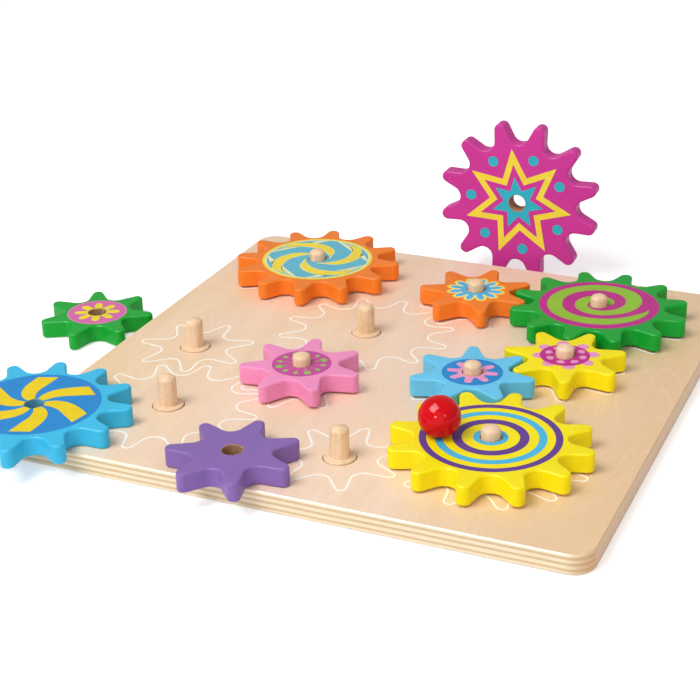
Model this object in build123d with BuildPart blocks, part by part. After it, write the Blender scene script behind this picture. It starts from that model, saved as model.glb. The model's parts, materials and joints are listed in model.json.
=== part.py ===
from build123d import *
import math
import os

os.makedirs("parts", exist_ok=True)

# A wooden gear board: a square plywood base with eleven turned pegs, and eleven toothed
# wheels that drop onto them.  Seven wheels are on their pegs.  One of those carries a
# round crank knob.  The other four lie loose beside their empty pegs.
# Millimetres, Z up.  The origin is the middle of the board's underside.

# ---- base board
board_side = 300.0
board_thick = 10.0
board_corner = 11.0
board_edge_ease = 0.6

# ---- tooth system, shared by both wheel sizes
module_mm = 7.45
large_teeth = 12
small_teeth = 7
wheel_thick = 10.0

# ---- large wheel outline
large_tip_r = 49.3
large_root_r = 36.2
large_tip_arc = 3.6
large_flank_deg = 13.0

# ---- small wheel outline
small_tip_r = 32.2
small_root_r = 19.3
small_tip_arc = 3.2
small_flank_deg = 15.0

# ---- turned pegs: a wide foot seated in the board, and a shank that carries the wheel
shank_r = 4.7
shank_top_ease = 2.1
peg_proud = 17.1
foot_r = 8.0
foot_proud = 0.9
foot_ease = 0.5
foot_depth = 6.0

# ---- fits
bore_play = 0.3
foot_gap = 0.3
glue_gap = 0.05
running_gap = 0.05

# ---- crank knob on the large yellow wheel
knob_r = 10.2
knob_flat = 0.6
knob_pin_r = 3.0
knob_pin_in_wheel = 7.0
knob_pin_in_knob = 9.0
knob_reach = 24.0
knob_bearing = 161.9

# ---- layout of the pegs: the crank wheel's peg is set in from the board's right and front
# edges, and each of the others is one centre distance from an earlier one at a bearing from +X
crank_from_right = 68.1
crank_from_front = 68.7
crank_phase = 34.1
sky_bearing = 116.7
yellow_small_bearing = 43.7
green_large_bearing = 91.5
orange_small_bearing = 182.7
magenta_bearing = 231.1
orange_large_bearing = 132.1
pink_bearing = 265.3
blue_bearing = 222.6
green_small_bearing = 107.7
purple_bearing = 201.3

# shares of a tooth pitch by which meshed teeth lean to one side within their backlash
sky_lean = -0.09
yellow_small_lean = 0.03
green_large_lean = -0.09
orange_small_lean = 0.05

# ---- wheels that turn freely on their pegs
orange_large_phase = 72.2
pink_phase = 100.5

# ---- loose wheels
purple_x = -25.8
purple_from_front = 14.8
purple_phase = 40.8
blue_from_left = 10.7
blue_from_front = 21.6
blue_phase = 17.4
green_loose_gap = 2.3
green_loose_y = 0.9
green_loose_phase = 18.0
magenta_stand_x = 14.4
magenta_stand_gap = 9.8
magenta_stand_yaw = 1.0

# ---- derived sizes
bore_r = shank_r + bore_play
seat_z = board_thick + foot_proud + running_gap
half_side = board_side / 2
crank_x = half_side - crank_from_right
crank_y = crank_from_front - half_side
purple_y = purple_from_front - half_side
blue_x = blue_from_left - half_side
blue_y = blue_from_front - half_side
seat_floor_z = board_thick - foot_depth


def centre_distance(teeth_a, teeth_b):
    """Distance between two pegs whose wheels mesh."""
    return module_mm * (teeth_a + teeth_b) / 2


def step_from(start, bearing, teeth_a, teeth_b):
    """Peg centre one centre distance from another at a bearing in degrees."""
    reach = centre_distance(teeth_a, teeth_b)
    angle = math.radians(bearing)
    return (start[0] + reach * math.cos(angle), start[1] + reach * math.sin(angle))


def meshed_phase(phase_a, teeth_a, bearing, teeth_b, lean):
    """Turn of wheel B that puts its teeth in the gaps of wheel A."""
    gap_count = (bearing - phase_a) * teeth_a / 360
    return bearing + 180 - (0.5 + lean - gap_count) * 360 / teeth_b


def polar(radius, angle):
    """Point at a radius and an angle in radians."""
    return (radius * math.cos(angle), radius * math.sin(angle))


def turned(point, angle):
    """Point turned about the origin by an angle in radians."""
    c = math.cos(angle)
    s = math.sin(angle)
    return (point[0] * c - point[1] * s, point[0] * s + point[1] * c)


def tooth_points(teeth, tip_r, root_r, tip_arc, flank_deg):
    """Tangent points of half a tooth: tip, end of the tip arc, start and floor of the valley.

    The valley radius is solved so that its arc touches both straight flanks and the root circle.
    """
    half_pitch = math.pi / teeth
    flank = math.radians(flank_deg)
    tip_centre = tip_r - tip_arc
    lift = math.sin(half_pitch + flank)
    valley_r = (root_r * lift - tip_centre * math.sin(flank) - tip_arc) / (1 - lift)
    valley_centre = polar(root_r + valley_r, half_pitch)
    normal = (math.sin(flank), math.cos(flank))
    tip_end = (tip_centre + tip_arc * normal[0], tip_arc * normal[1])
    valley_start = (valley_centre[0] - valley_r * normal[0], valley_centre[1] - valley_r * normal[1])
    valley_floor = polar(root_r, half_pitch)
    return (tip_r, 0.0), tip_end, valley_start, valley_floor


def wheel_outline(teeth, tip_r, root_r, tip_arc, flank_deg):
    """Closed toothed outline of arcs and straight flanks, with the first tooth on +X."""
    tip, tip_end, valley_start, valley_floor = tooth_points(teeth, tip_r, root_r, tip_arc, flank_deg)
    pitch = 2 * math.pi / teeth
    tip_begin = (tip_end[0], -tip_end[1])
    valley_end = turned((valley_start[0], -valley_start[1]), pitch)
    next_tip_begin = turned(tip_begin, pitch)
    for count in range(teeth):
        turn = count * pitch
        ThreePointArc(turned(tip_begin, turn), turned(tip, turn), turned(tip_end, turn))
        Line(turned(tip_end, turn), turned(valley_start, turn))
        ThreePointArc(turned(valley_start, turn), turned(valley_floor, turn), turned(valley_end, turn))
        Line(turned(valley_end, turn), turned(next_tip_begin, turn))


def wheel_plane(x, y, z, phase):
    """Plane under a wheel that lies flat, turned so that its first tooth points at the phase."""
    angle = math.radians(phase)
    return Plane(origin=(x, y, z), x_dir=(math.cos(angle), math.sin(angle), 0), z_dir=(0, 0, 1))


def make_wheel(label, teeth, plane, knob_hole=False):
    """Toothed wheel on a plane, exported under its label."""
    if teeth == large_teeth:
        sizes = (large_tip_r, large_root_r, large_tip_arc, large_flank_deg)
    else:
        sizes = (small_tip_r, small_root_r, small_tip_arc, small_flank_deg)
    with BuildPart() as wheel:
        with BuildSketch(plane):
            with BuildLine():
                wheel_outline(teeth, *sizes)
            make_face()
        extrude(amount=wheel_thick)
        with BuildSketch(plane):
            Circle(bore_r)
        extrude(amount=wheel_thick, mode=Mode.SUBTRACT)
        if knob_hole:
            with BuildSketch(plane.offset(wheel_thick)):
                with PolarLocations(knob_reach, 1, start_angle=knob_bearing):
                    Circle(knob_pin_r + glue_gap)
            extrude(amount=-knob_pin_in_wheel, mode=Mode.SUBTRACT)
    wheel.part.label = label
    export_step(wheel.part, f"parts/{label}.step")


def make_peg(label, spot):
    """Turned peg: a foot seated in the board and a shank with an eased top."""
    with BuildPart() as peg:
        with BuildSketch(Plane.XY.offset(seat_floor_z)):
            with Locations(spot):
                Circle(foot_r)
        extrude(amount=foot_depth + foot_proud)
        chamfer(peg.edges().group_by(Axis.Z)[-1], foot_ease)
        with BuildSketch(Plane.XY.offset(board_thick + foot_proud)):
            with Locations(spot):
                Circle(shank_r)
        extrude(amount=peg_proud - foot_proud)
        chamfer(peg.edges().group_by(Axis.Z)[-1], shank_top_ease)
    peg.part.label = label
    export_step(peg.part, f"parts/{label}.step")


# ---- peg centres, walked from the crank wheel's peg along the gear train
crank_spot = (crank_x, crank_y)
sky_spot = step_from(crank_spot, sky_bearing, large_teeth, small_teeth)
yellow_small_spot = step_from(sky_spot, yellow_small_bearing, small_teeth, small_teeth)
green_large_spot = step_from(yellow_small_spot, green_large_bearing, small_teeth, large_teeth)
orange_small_spot = step_from(green_large_spot, orange_small_bearing, large_teeth, small_teeth)
magenta_spot = step_from(orange_small_spot, magenta_bearing, small_teeth, large_teeth)
orange_large_spot = step_from(magenta_spot, orange_large_bearing, large_teeth, large_teeth)
pink_spot = step_from(magenta_spot, pink_bearing, large_teeth, small_teeth)
blue_spot = step_from(pink_spot, blue_bearing, small_teeth, large_teeth)
green_small_spot = step_from(blue_spot, green_small_bearing, large_teeth, small_teeth)
purple_spot = step_from(crank_spot, purple_bearing, large_teeth, small_teeth)

pegs = {
    "peg_crank": crank_spot,
    "peg_sky": sky_spot,
    "peg_yellow_small": yellow_small_spot,
    "peg_green_large": green_large_spot,
    "peg_orange_small": orange_small_spot,
    "peg_orange_large": orange_large_spot,
    "peg_pink": pink_spot,
    "peg_for_magenta": magenta_spot,
    "peg_for_blue": blue_spot,
    "peg_for_green_small": green_small_spot,
    "peg_for_purple": purple_spot,
}

# ---- turn of each wheel in the train, each one meshed with the wheel before it
sky_phase = meshed_phase(crank_phase, large_teeth, sky_bearing, small_teeth, sky_lean)
yellow_small_phase = meshed_phase(
    sky_phase, small_teeth, yellow_small_bearing, small_teeth, yellow_small_lean
)
green_large_phase = meshed_phase(
    yellow_small_phase, small_teeth, green_large_bearing, large_teeth, green_large_lean
)
orange_small_phase = meshed_phase(
    green_large_phase, large_teeth, orange_small_bearing, small_teeth, orange_small_lean
)

# ---- base board, with a seat for each peg's foot
with BuildPart() as board:
    with BuildSketch(Plane.XY):
        RectangleRounded(board_side, board_side, board_corner)
    extrude(amount=board_thick)
    chamfer(board.edges().group_by(Axis.Z)[-1], board_edge_ease)
    chamfer(board.edges().group_by(Axis.Z)[0], board_edge_ease)
    with BuildSketch(Plane.XY.offset(seat_floor_z)):
        with Locations(*pegs.values()):
            Circle(foot_r + foot_gap)
    extrude(amount=foot_depth, mode=Mode.SUBTRACT)
board.part.label = "base_board"
export_step(board.part, "parts/base_board.step")

# ---- pegs
for peg_label, peg_spot in pegs.items():
    make_peg(peg_label, peg_spot)

# ---- wheels on their pegs, resting on the pegs' feet
crank_plane = wheel_plane(*crank_spot, seat_z, crank_phase)
make_wheel("wheel_yellow_large", large_teeth, crank_plane, knob_hole=True)
make_wheel("wheel_sky_small", small_teeth, wheel_plane(*sky_spot, seat_z, sky_phase))
make_wheel(
    "wheel_yellow_small", small_teeth, wheel_plane(*yellow_small_spot, seat_z, yellow_small_phase)
)
make_wheel("wheel_green_large", large_teeth, wheel_plane(*green_large_spot, seat_z, green_large_phase))
make_wheel(
    "wheel_orange_small", small_teeth, wheel_plane(*orange_small_spot, seat_z, orange_small_phase)
)
make_wheel(
    "wheel_orange_large", large_teeth, wheel_plane(*orange_large_spot, seat_z, orange_large_phase)
)
make_wheel("wheel_pink_small", small_teeth, wheel_plane(*pink_spot, seat_z, pink_phase))

# ---- loose wheels lying on the board and on the table
make_wheel(
    "wheel_purple_small", small_teeth, wheel_plane(purple_x, purple_y, board_thick, purple_phase)
)
make_wheel("wheel_blue_large", large_teeth, wheel_plane(blue_x, blue_y, board_thick, blue_phase))
green_loose_x = -half_side - green_loose_gap - small_tip_r
make_wheel(
    "wheel_green_small", small_teeth, wheel_plane(green_loose_x, green_loose_y, 0, green_loose_phase)
)

# ---- loose wheel standing on two teeth behind the board, with its painted face to the front
stand_tip = large_tip_r - large_tip_arc
stand_z = stand_tip * math.cos(math.pi / large_teeth) + large_tip_arc
stand_yaw = math.radians(magenta_stand_yaw)
stand_out = (math.sin(stand_yaw), -math.cos(stand_yaw), 0)
stand_back = (
    magenta_stand_x - wheel_thick * stand_out[0],
    half_side + magenta_stand_gap - wheel_thick * stand_out[1],
    stand_z,
)
stand_half = math.pi / large_teeth
stand_x_dir = (
    math.cos(stand_half) * math.cos(stand_yaw),
    math.cos(stand_half) * math.sin(stand_yaw),
    math.sin(stand_half),
)
stand_plane = Plane(origin=stand_back, x_dir=stand_x_dir, z_dir=stand_out)
make_wheel("wheel_magenta_large", large_teeth, stand_plane)

# ---- crank knob and its hidden pin, glued into the large yellow wheel
knob_spot = polar(knob_reach, math.radians(knob_bearing + crank_phase))
knob_spot = (crank_x + knob_spot[0], crank_y + knob_spot[1])
knob_seat_z = seat_z + wheel_thick
knob_z = knob_seat_z + knob_r - knob_flat

with BuildPart() as knob:
    with Locations((knob_spot[0], knob_spot[1], knob_z)):
        Sphere(knob_r)
    split(bisect_by=Plane.XY.offset(knob_seat_z), keep=Keep.TOP)
    with BuildSketch(Plane.XY.offset(knob_seat_z)):
        with Locations(knob_spot):
            Circle(knob_pin_r + glue_gap)
    extrude(amount=knob_pin_in_knob, mode=Mode.SUBTRACT)
knob.part.label = "crank_knob"
export_step(knob.part, "parts/crank_knob.step")

with BuildPart() as knob_pin:
    with BuildSketch(Plane.XY.offset(knob_seat_z - knob_pin_in_wheel)):
        with Locations(knob_spot):
            Circle(knob_pin_r)
    extrude(amount=knob_pin_in_wheel + knob_pin_in_knob)
knob_pin.part.label = "crank_pin"
export_step(knob_pin.part, "parts/crank_pin.step")

print("peg centres", {name: (round(x, 2), round(y, 2)) for name, (x, y) in pegs.items()})
print("wheel phases", round(sky_phase, 2), round(yellow_small_phase, 2))
print("wheel phases", round(green_large_phase, 2), round(orange_small_phase, 2))
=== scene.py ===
"""Looks of the wooden crank gear toy: painted toothed wheels, turned pegs, prints and the round crank knob."""

import json
import logging
import math
from dataclasses import dataclass, field, replace
from enum import Enum

import bmesh
import bpy
from mathutils import Matrix, Vector


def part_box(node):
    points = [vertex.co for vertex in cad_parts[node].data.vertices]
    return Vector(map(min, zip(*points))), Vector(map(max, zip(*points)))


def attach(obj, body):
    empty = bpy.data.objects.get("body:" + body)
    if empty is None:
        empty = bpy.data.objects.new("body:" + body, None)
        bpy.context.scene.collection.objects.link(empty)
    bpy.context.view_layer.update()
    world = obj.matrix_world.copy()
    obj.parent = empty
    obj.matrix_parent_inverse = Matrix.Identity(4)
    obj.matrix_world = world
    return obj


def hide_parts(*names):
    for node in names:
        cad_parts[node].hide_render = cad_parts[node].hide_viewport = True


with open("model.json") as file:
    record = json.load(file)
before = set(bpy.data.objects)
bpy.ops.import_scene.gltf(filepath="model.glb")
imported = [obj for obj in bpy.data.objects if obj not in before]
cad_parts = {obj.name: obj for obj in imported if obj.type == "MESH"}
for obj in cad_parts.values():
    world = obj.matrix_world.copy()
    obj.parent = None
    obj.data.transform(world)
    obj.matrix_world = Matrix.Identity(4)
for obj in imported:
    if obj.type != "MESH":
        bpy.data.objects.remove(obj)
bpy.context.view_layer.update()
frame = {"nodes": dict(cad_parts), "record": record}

LOG = logging.getLogger("gear_toy")
MM = 0.001
MERGE_MM = 0.002
FACE_WEIGHT = 80

Socket = bpy.types.NodeSocket
Mesh = bmesh.types.BMesh
Edge = bmesh.types.BMEdge
Vert = bmesh.types.BMVert
Steps = tuple[int, int, int]
Span = tuple[float, float]
Triple = tuple[float, float, float]


# ------------------------------------------------------------------ colours and finishes


def srgb(red: int, green: int, blue: int) -> tuple[float, float, float, float]:
    """Turns a colour in 0 to 255 steps into the opaque linear colour that the shaders use.

    Args:
        red: Red step.
        green: Green step.
        blue: Blue step.

    Returns:
        The linear colour.
    """

    def linear(step: int) -> float:
        """Linear share of one channel."""
        share = step / 255
        return share / 12.92 if share <= 0.04045 else ((share + 0.055) / 1.055) ** 2.4

    return (linear(red), linear(green), linear(blue), 1.0)


class Paint(Enum):
    """Paint and print colours of this toy, in 0 to 255 steps."""

    YELLOW = (249, 229, 0)
    SKY = (104, 198, 236)
    BLUE_WHEEL = (58, 186, 228)
    GREEN = (14, 164, 50)
    ORANGE = (244, 128, 36)
    PINK = (242, 146, 194)
    PURPLE = (134, 102, 172)
    MAGENTA = (203, 54, 152)
    PRINT_PURPLE = (100, 62, 144)
    PRINT_CYAN = (72, 184, 224)
    PRINT_TEAL = (46, 176, 198)
    PRINT_BLUE = (34, 134, 204)
    PRINT_SWIRL_BLUE = (98, 182, 204)
    PRINT_SUN = (240, 216, 66)
    PRINT_BLADE = (234, 204, 18)
    PRINT_LIME = (146, 192, 56)
    PRINT_MAGENTA = (190, 46, 136)
    PRINT_ROSE = (232, 152, 196)
    PRINT_PLUM = (194, 78, 150)
    PRINT_MALLOW = (214, 104, 168)
    PRINT_LEAF = (150, 194, 88)
    PRINT_STEM = (206, 108, 160)
    PRINT_LEMON = (232, 218, 44)
    PRINT_CREAM = (236, 232, 178)
    PRINT_DAISY_GOLD = (250, 204, 40)
    PRINT_DAISY_BLUE = (82, 180, 222)
    PRINT_WHITE = (255, 250, 242)


@dataclass(frozen=True)
class PaintedWood:
    """Satin paint over wood: soft mottling, a faint raised grain and a fine brushed skin."""

    name: str
    colour: Paint
    roughness: float = 0.38
    specular: float = 0.18
    grain_strength: float = 0.05
    grain_depth: float = 0.00012
    skin_strength: float = 0.04
    skin_depth: float = 0.00008

    def build(self) -> bpy.types.Material:
        """Makes the node material.

        Returns:
            The finished paint.
        """
        nodes = NodeBoard(self.name)
        cloud = nodes.noise(26)
        tint = nodes.mottled(cloud, self.colour.value, (0.95, 1.03), 0.002)
        tint = nodes.mix(tint, (0, 0, 0), nodes.range(nodes.noise(700), 0.05, -0.04))
        grain = nodes.noise(900, 3, 0.6, stretch=(1, 0.07, 1))
        relief = nodes.bump(grain, self.grain_strength, self.grain_depth)
        relief = nodes.bump(nodes.noise(1500), self.skin_strength, self.skin_depth, relief)
        gloss = nodes.range(cloud, self.roughness - 0.04, self.roughness + 0.05)
        return nodes.shade(tint, gloss, relief, self.specular)


@dataclass(frozen=True)
class PrintInk:
    """Screen-printed ink: flat colour with a slight mottle and a silky sheen."""

    name: str
    colour: Paint
    roughness: float = 0.44
    specular: float = 0.14

    def build(self) -> bpy.types.Material:
        """Makes the node material.

        Returns:
            The finished ink.
        """
        nodes = NodeBoard(self.name)
        cloud = nodes.noise(160, 3, 0.6)
        tint = nodes.mottled(cloud, self.colour.value, (0.95, 1.03), 0.004)
        relief = nodes.bump(nodes.noise(2200, 1), 0.05, 0.00006)
        gloss = nodes.range(cloud, self.roughness - 0.05, self.roughness + 0.05)
        return nodes.shade(tint, gloss, relief, self.specular)


@dataclass(frozen=True)
class BirchPly:
    """Clear-lacquered birch plywood: pale face veneer on top and banded plies round the edge."""

    name: str = "birch_ply"
    board_thick: float = 10.0
    plies: float = 3.5
    grain_turn: float = -4.0
    grain_wander: float = 0.02
    contour_bands: float = 22.0

    def build(self) -> bpy.types.Material:
        """Makes the node material: veneer where the surface faces up or down, plies elsewhere.

        Returns:
            The finished board material.
        """
        nodes = NodeBoard(self.name)
        bent = nodes.shifted(
            nodes.mapped(nodes.place, turn=(0, 0, math.radians(self.grain_turn))),
            nodes.noise(9, stretch=(1, 0.35, 1)), self.grain_wander,
        )
        fine = nodes.noise(760, 4, 0.65, stretch=(1, 0.05, 1), at=bent)
        tint = nodes.mix(self._edge(nodes), self._veneer(nodes, bent, fine), nodes.facing_up())
        relief = nodes.bump(fine, 0.06, 0.0001)
        return nodes.shade(tint, nodes.range(fine, 0.30, 0.38), relief, specular=0.35, coat=0.15)

    def _veneer(self, nodes: "NodeBoard", bent: Socket, fine: Socket) -> Socket:
        """Colour of the face veneer, with a painted sheen and a partly painted shade along X.

        Args:
            nodes: Board that the nodes are wired on.
            bent: Coordinate that follows the wandering grain.
            fine: Noise of the fine grain lines.

        Returns:
            The colour socket.
        """
        broad = nodes.noise(48, 3, 0.55, stretch=(1, 0.12, 1), at=bent)
        pores = nodes.noise(2100, stretch=(1, 0.08, 1), at=bent)
        figure = nodes.noise(19, 3, 0.45, stretch=(1, 0.2, 1), at=bent)
        golden = nodes.noise(15, 3, 0.55, stretch=(1, 0.6, 1))
        contour = nodes.ramp(
            nodes.banded(figure, self.contour_bands), [(0.0, (255, 255, 255)), (0.2, (0, 0, 0)), (1.0, (0, 0, 0))]
        )
        along_x_for_sheen_and_shade = nodes.axis_share(nodes.place, 0)
        base = nodes.ramp(broad, [(0.30, (234, 202, 164)), (0.52, (243, 215, 183)), (0.74, (250, 226, 199))])
        return nodes.washed(
            base,
            ((228, 186, 138), nodes.range(fine, 0.28, -0.12)),
            ((250, 216, 196), nodes.range(nodes.noise(11), -0.3, 0.6)),
            ((236, 196, 134), nodes.range(golden, -0.35, 0.55)),
            # Paler, pinker wash that grows along X up to the middle of the board: painted sheen.
            ((246, 218, 202), nodes.spread(along_x_for_sheen_and_shade, (-0.12, 0.0), (0.0, 0.4))),
            # More golden wash towards the +X end: partly the veneer's own tone, partly painted shade where the
            # light falls off.
            ((232, 194, 144), nodes.spread(along_x_for_sheen_and_shade, (0.05, 0.14), (0.0, 0.75))),
            ((255, 234, 208), nodes.scaled(contour, 0.2)),
            ((206, 160, 110), nodes.scaled(nodes.range(pores, -1.9, 1.2), 0.2)),
        )

    def _edge(self, nodes: "NodeBoard") -> Socket:
        """Colour of the banded plies round the edge, with painted shade on the edges that face along X.

        Args:
            nodes: Board that the nodes are wired on.

        Returns:
            The colour socket.
        """
        wobble = nodes.noise(30, 1, stretch=(1, 1, 0.2))
        per_metre = self.plies / (self.board_thick * MM)
        pale, dark = (234, 214, 180), (204, 176, 136)
        plies = nodes.ramp(
            nodes.wave_height(nodes.axis_share(nodes.place, 2), wobble, per_metre),
            [(0.0, (190, 158, 116)), (0.05, pale), (0.34, (240, 224, 194)), (0.64, pale),
             (0.72, dark), (0.92, (212, 184, 144)), (1.0, (182, 150, 108))],
        )
        fibres = nodes.noise(1100, 3, 0.6, stretch=(0.12, 0.12, 1))
        return nodes.washed(
            plies,
            ((226, 196, 156), nodes.range(fibres, -0.2, 0.45)),
            # Darker orange-brown on the edges that face along X: painted shade of the side edges, partly the end
            # grain's own tone.
            ((206, 146, 84), nodes.scaled(nodes.facing(0), 0.75)),
        )


@dataclass(frozen=True)
class TurnedBeech:
    """Bare turned hardwood: straight grain up the peg with short pale flecks."""

    name: str = "turned_beech"

    def build(self) -> bpy.types.Material:
        """Makes the node material.

        Returns:
            The finished wood.
        """
        nodes = NodeBoard(self.name)
        streaks = nodes.noise(420, 4, 0.6, stretch=(1, 1, 0.10))
        fibres = nodes.noise(1700, 3, 0.6, stretch=(1, 1, 0.05))
        speckle = nodes.noise(1500, 3, 0.65, stretch=(1, 1, 0.4))
        wood = nodes.washed(
            nodes.ramp(streaks, [(0.25, (222, 182, 134)), (0.5, (238, 204, 164)), (0.75, (247, 220, 188))]),
            ((206, 162, 112), nodes.range(fibres, 0.3, -0.25)),
            ((246, 212, 184), nodes.range(nodes.noise(60), -0.3, 0.7)),
            ((190, 144, 98), nodes.scaled(nodes.range(speckle, -0.9, 1.0), 0.4)),
        )
        relief = nodes.bump(speckle, 0.1, 0.00012)
        return nodes.shade(wood, nodes.range(streaks, 0.46, 0.56), relief, specular=0.25)


@dataclass(frozen=True)
class DrilledWood:
    """Bare end grain inside a drilled bore: rough and speckled, brown or with paint run into it, its dark tones
    partly painted shade of the bore's depth.
    """

    name: str = "drilled_wood"
    dark: Steps = (136, 96, 70)
    middle: Steps = (180, 136, 100)
    light: Steps = (208, 166, 128)

    def build(self) -> bpy.types.Material:
        """Makes the node material.

        Returns:
            The finished wood.
        """
        nodes = NodeBoard(self.name)
        pores = nodes.noise(1300, 3, 0.6)
        cloud = nodes.noise(200)
        # Dark browns: partly the end grain's own tone, partly painted shade of the bore's depth.
        wood = nodes.ramp(pores, [(0.3, self.dark), (0.5, self.middle), (0.7, self.light)])
        wood = nodes.mix(wood, self.dark, nodes.range(cloud, -0.2, 0.7))
        relief = nodes.bump(pores, 0.2, 0.0002)
        return nodes.shade(wood, nodes.range(cloud, 0.7, 0.85), relief, specular=0.2)


@dataclass(frozen=True)
class GlossLacquer:
    """Red gloss lacquer over a turned ball."""

    name: str = "red_lacquer"
    colour: Steps = (208, 8, 20)

    def build(self) -> bpy.types.Material:
        """Makes the node material.

        Returns:
            The finished lacquer.
        """
        nodes = NodeBoard(self.name)
        cloud = nodes.noise(90)
        tint = nodes.mottled(cloud, self.colour, (0.9, 1.06))
        relief = nodes.bump(nodes.noise(420, 1, 0.4), 0.01, 0.0001)
        return nodes.shade(tint, nodes.range(cloud, 0.02, 0.035), relief, specular=0.14)


@dataclass(frozen=True)
class StudioPaper:
    """Pale seamless paper that shows as white to the camera and keeps a soft shadow."""

    name: str = "studio_paper"
    lift: float = 0.4

    def build(self) -> bpy.types.Material:
        """Makes the node material.

        Returns:
            The finished paper.
        """
        nodes = NodeBoard(self.name)
        tint = nodes.ramp(nodes.noise(300), [(0.3, (246, 246, 246)), (0.7, (250, 250, 250))])
        shader = nodes.principled({"Base Color": tint, "Roughness": 0.9, "Specular IOR Level": 0.1})
        return nodes.seen_white(shader, self.lift)


Finish = PaintedWood | PrintInk | BirchPly | TurnedBeech | DrilledWood | GlossLacquer


class NodeBoard:
    """Small helper that wires one procedural material."""

    def __init__(self, name: str) -> None:
        """Starts an empty node material with object coordinates in metres.

        Args:
            name: Name of the material.
        """
        self.material = bpy.data.materials.new(name)
        self.material.use_nodes = True
        self.tree = self.material.node_tree
        self.tree.nodes.clear()
        self.output = self._node("ShaderNodeOutputMaterial", {})
        self.place = self._node("ShaderNodeTexCoord", {}).outputs["Object"]

    def _node(
        self, kind: str, inputs: dict[str | int, Socket | float | tuple[float, ...]], **options: str | bool
    ) -> bpy.types.Node:
        """Adds a node.

        Args:
            kind: Blender's name of the node.
            inputs: For each input, the socket that it reads or the value that it holds all over.
            options: The node's own settings.

        Returns:
            The node.
        """
        node = self.tree.nodes.new(kind)
        for name, setting in options.items():
            setattr(node, name, setting)
        for name, given in inputs.items():
            if isinstance(given, Socket):
                self.tree.links.new(given, node.inputs[name])
            else:
                node.inputs[name].default_value = given
        return node

    def _math(self, operation: str, first: Socket, second: Socket | float = 0.0, clamp: bool = False) -> Socket:
        """Arithmetic on two values.

        Args:
            operation: Blender's name of the operation.
            first: First value.
            second: Second value or number.
            clamp: Whether the result is kept between 0 and 1.

        Returns:
            The result.
        """
        node = self._node("ShaderNodeMath", {0: first, 1: second}, operation=operation, use_clamp=clamp)
        return node.outputs[0]

    def mapped(self, vector: Socket, scale: Triple = (1, 1, 1), turn: Triple = (0, 0, 0)) -> Socket:
        """Stretches and turns a coordinate.

        Args:
            vector: Coordinate to change.
            scale: Stretch along each axis.
            turn: Turn about each axis in radians.

        Returns:
            The changed coordinate.
        """
        node = self._node("ShaderNodeMapping", {"Vector": vector, "Scale": scale, "Rotation": turn})
        return node.outputs["Vector"]

    def shifted(self, vector: Socket, amount: Socket, reach: float) -> Socket:
        """Pushes a coordinate sideways by a noise.

        Args:
            vector: Coordinate to change.
            amount: Noise between 0 and 1.
            reach: Largest push in metres.

        Returns:
            The pushed coordinate.
        """
        terms = {0: amount, 1: (reach, 0, 0), 2: vector}
        return self._node("ShaderNodeVectorMath", terms, operation="MULTIPLY_ADD").outputs[0]

    def noise(
        self, scale: float, detail: float = 2, roughness: float = 0.5,
        stretch: Triple | None = None, at: Socket | None = None,
    ) -> Socket:
        """Noise value.

        Args:
            scale: Lumps per metre.
            detail: Octaves.
            roughness: Weight of the fine octaves.
            stretch: Stretch of the coordinate along each axis.
            at: Coordinate to read, or the object's own.

        Returns:
            The noise socket, about 0.5.
        """
        vector = self.place if at is None else at
        if stretch is not None:
            vector = self.mapped(vector, stretch)
        read = {"Vector": vector, "Scale": scale, "Detail": detail, "Roughness": roughness}
        return self._node("ShaderNodeTexNoise", read).outputs["Fac"]

    def range(self, value: Socket, low: float, high: float) -> Socket:
        """Spreads a noise, mostly near 0.5, so that 0.25 gives the low number and 0.75 the high one."""
        return self.spread(value, (0.25, 0.75), (low, high))

    def spread(self, value: Socket, taken: Span, given: Span) -> Socket:
        """Maps one span of values to another.

        Args:
            value: Value to read.
            taken: Span that is read.
            given: Span that comes out.

        Returns:
            The mapped value.
        """
        spans = {"From Min": taken[0], "From Max": taken[1], "To Min": given[0], "To Max": given[1]}
        return self._node("ShaderNodeMapRange", {"Value": value, **spans}).outputs["Result"]

    def banded(self, value: Socket, bands: float) -> Socket:
        """Share through each of many equal bands of a value."""
        return self._math("FRACT", self._math("MULTIPLY", value, bands))

    def scaled(self, value: Socket, share: float) -> Socket:
        """Share of a value, kept between 0 and 1."""
        return self._math("MULTIPLY", value, share, clamp=True)

    def _linear_ramp(self, factor: Socket, stops: list[tuple[float, tuple[float, ...]]]) -> Socket:
        """Colour ramp of linear colours.

        Args:
            factor: Value to read.
            stops: Positions with their linear colours.

        Returns:
            The colour socket.
        """
        node = self._node("ShaderNodeValToRGB", {"Fac": factor})
        while len(node.color_ramp.elements) < len(stops):
            node.color_ramp.elements.new(0.5)
        for element, (position, colour) in zip(node.color_ramp.elements, stops):
            element.position = position
            element.color = colour
        return node.outputs["Color"]

    def ramp(self, factor: Socket, stops: list[tuple[float, Steps]]) -> Socket:
        """Colour ramp of positions with colours in 0 to 255 steps."""
        return self._linear_ramp(factor, [(position, srgb(*colour)) for position, colour in stops])

    def mottled(self, factor: Socket, colour: Steps, shares: Span, lift: float = 0.0) -> Socket:
        """Colour that wanders a little darker and lighter.

        Args:
            factor: Noise between 0 and 1.
            colour: Colour in 0 to 255 steps.
            shares: Shares of it at the dark end and at the light end.
            lift: Added at the light end.

        Returns:
            The colour socket.
        """
        base = srgb(*colour)[:3]
        low = (*(channel * shares[0] for channel in base), 1)
        high = (*(min(1, channel * shares[1] + lift) for channel in base), 1)
        return self._linear_ramp(factor, [(0.3, low), (0.7, high)])

    def mix(self, first: Socket, second: Socket | Steps, factor: Socket) -> Socket:
        """Mix of two colours.

        Args:
            first: Colour at factor 0.
            second: Colour at factor 1, a socket or 0 to 255 steps.
            factor: Share of the second colour.

        Returns:
            The mixed colour.
        """
        over = srgb(*second) if isinstance(second, tuple) else second
        return self._node("ShaderNodeMix", {0: factor, 6: first, 7: over}, data_type="RGBA").outputs[2]

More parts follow.
